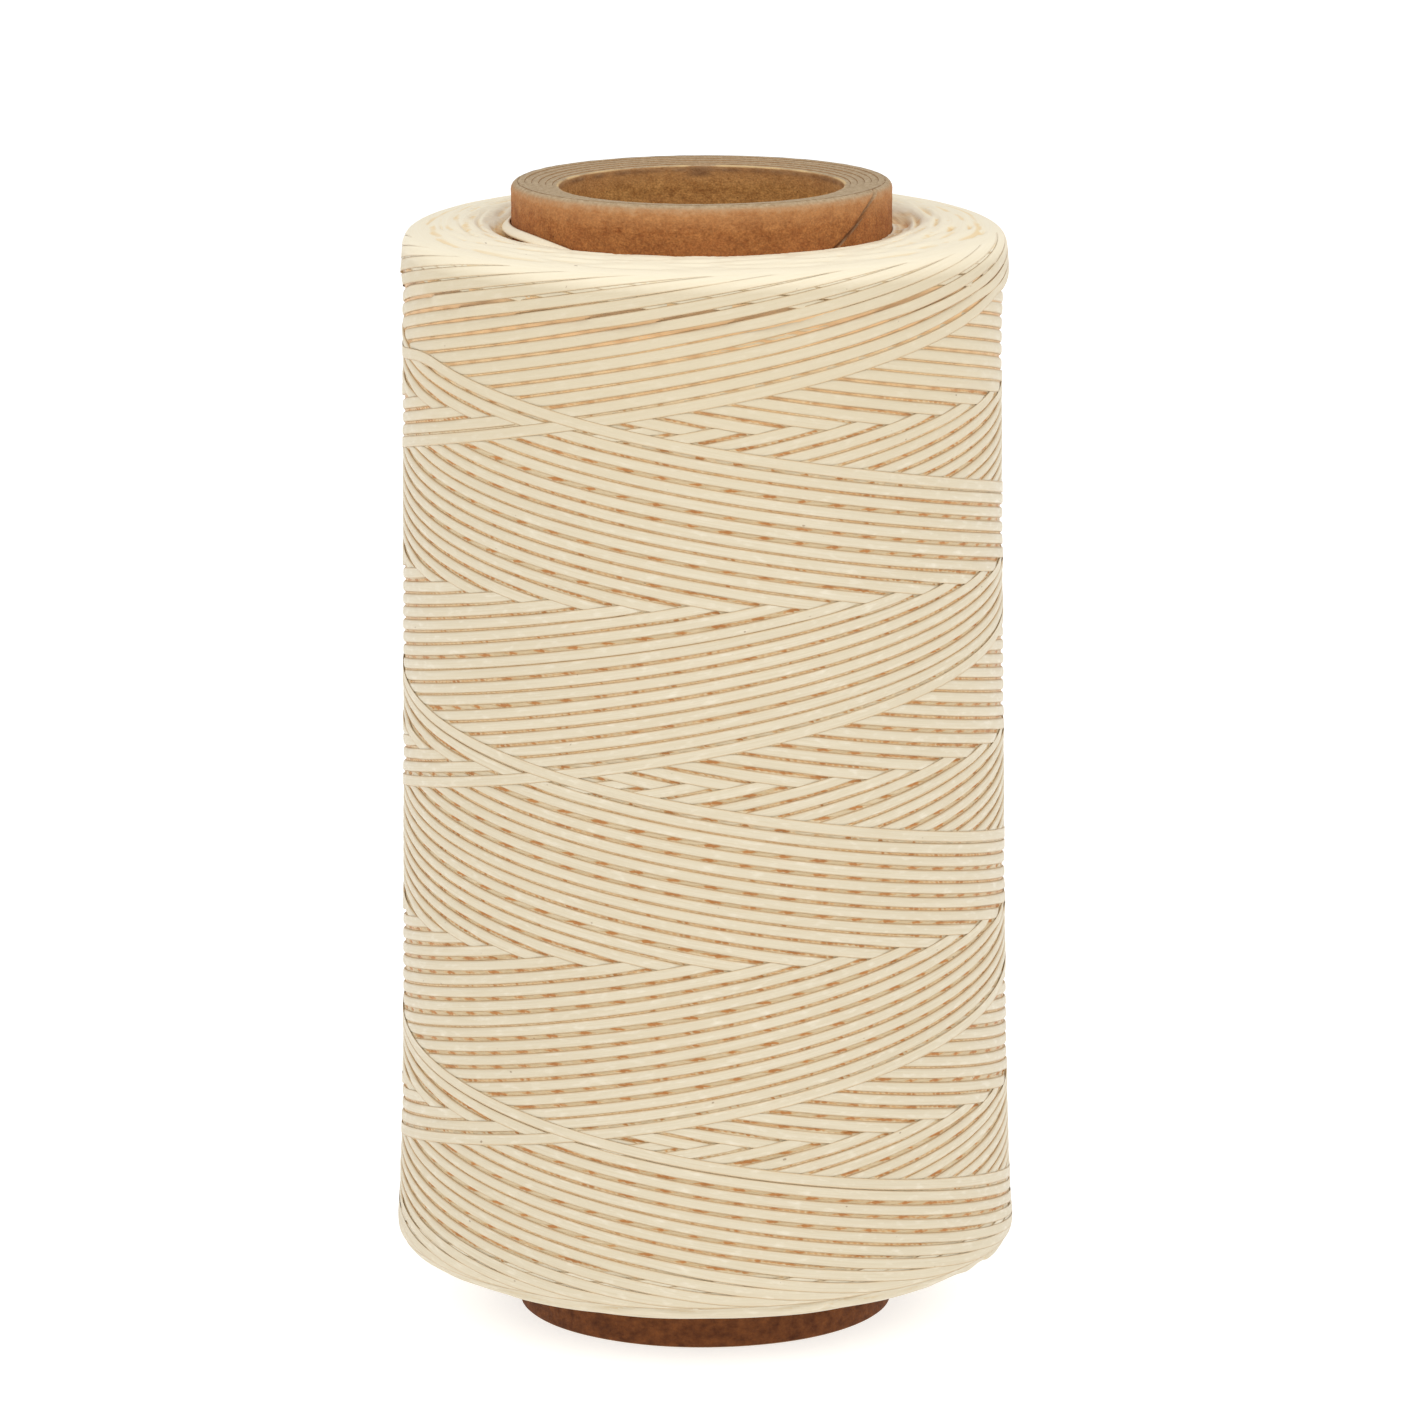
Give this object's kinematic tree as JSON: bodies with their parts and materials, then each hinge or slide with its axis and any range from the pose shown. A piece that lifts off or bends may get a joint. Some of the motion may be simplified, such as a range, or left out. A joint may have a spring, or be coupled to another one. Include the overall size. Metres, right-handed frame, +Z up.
{
  "type": "waxed thread spool",
  "caption": "Paper-tube spool with a cross-wound package of flat waxed thread, the tube's ends standing clear of the winding.",
  "frame": {"origin": "on the tube's axis, at the bottom end of the paper tube, where the spool stands", "axes": "+Z up along the tube's axis, +X to the right as seen from the front, +Y away from the front"},
  "size_m": [0.0554, 0.0554, 0.1014],
  "materials": {
    "kraft_liner": "matte",
    "kraft_board": "matte",
    "kraft_wrap": "matte",
    "waxed_thread": "satin"
  },
  "bodies": {
    "root": {"core_inner_ply": "kraft_liner", "core_body_ply_1": "kraft_board", "core_body_ply_2": "kraft_board", "core_body_ply_3": "kraft_board", "core_body_ply_4": "kraft_board", "core_body_ply_5": "kraft_board", "core_outer_ply": "kraft_wrap", "thread_inner_layers": "waxed_thread", "thread_middle_layers": "waxed_thread", "thread_outer_layers": "waxed_thread", "slipped_thread_turn": "waxed_thread"}
  },
  "joints": []
}
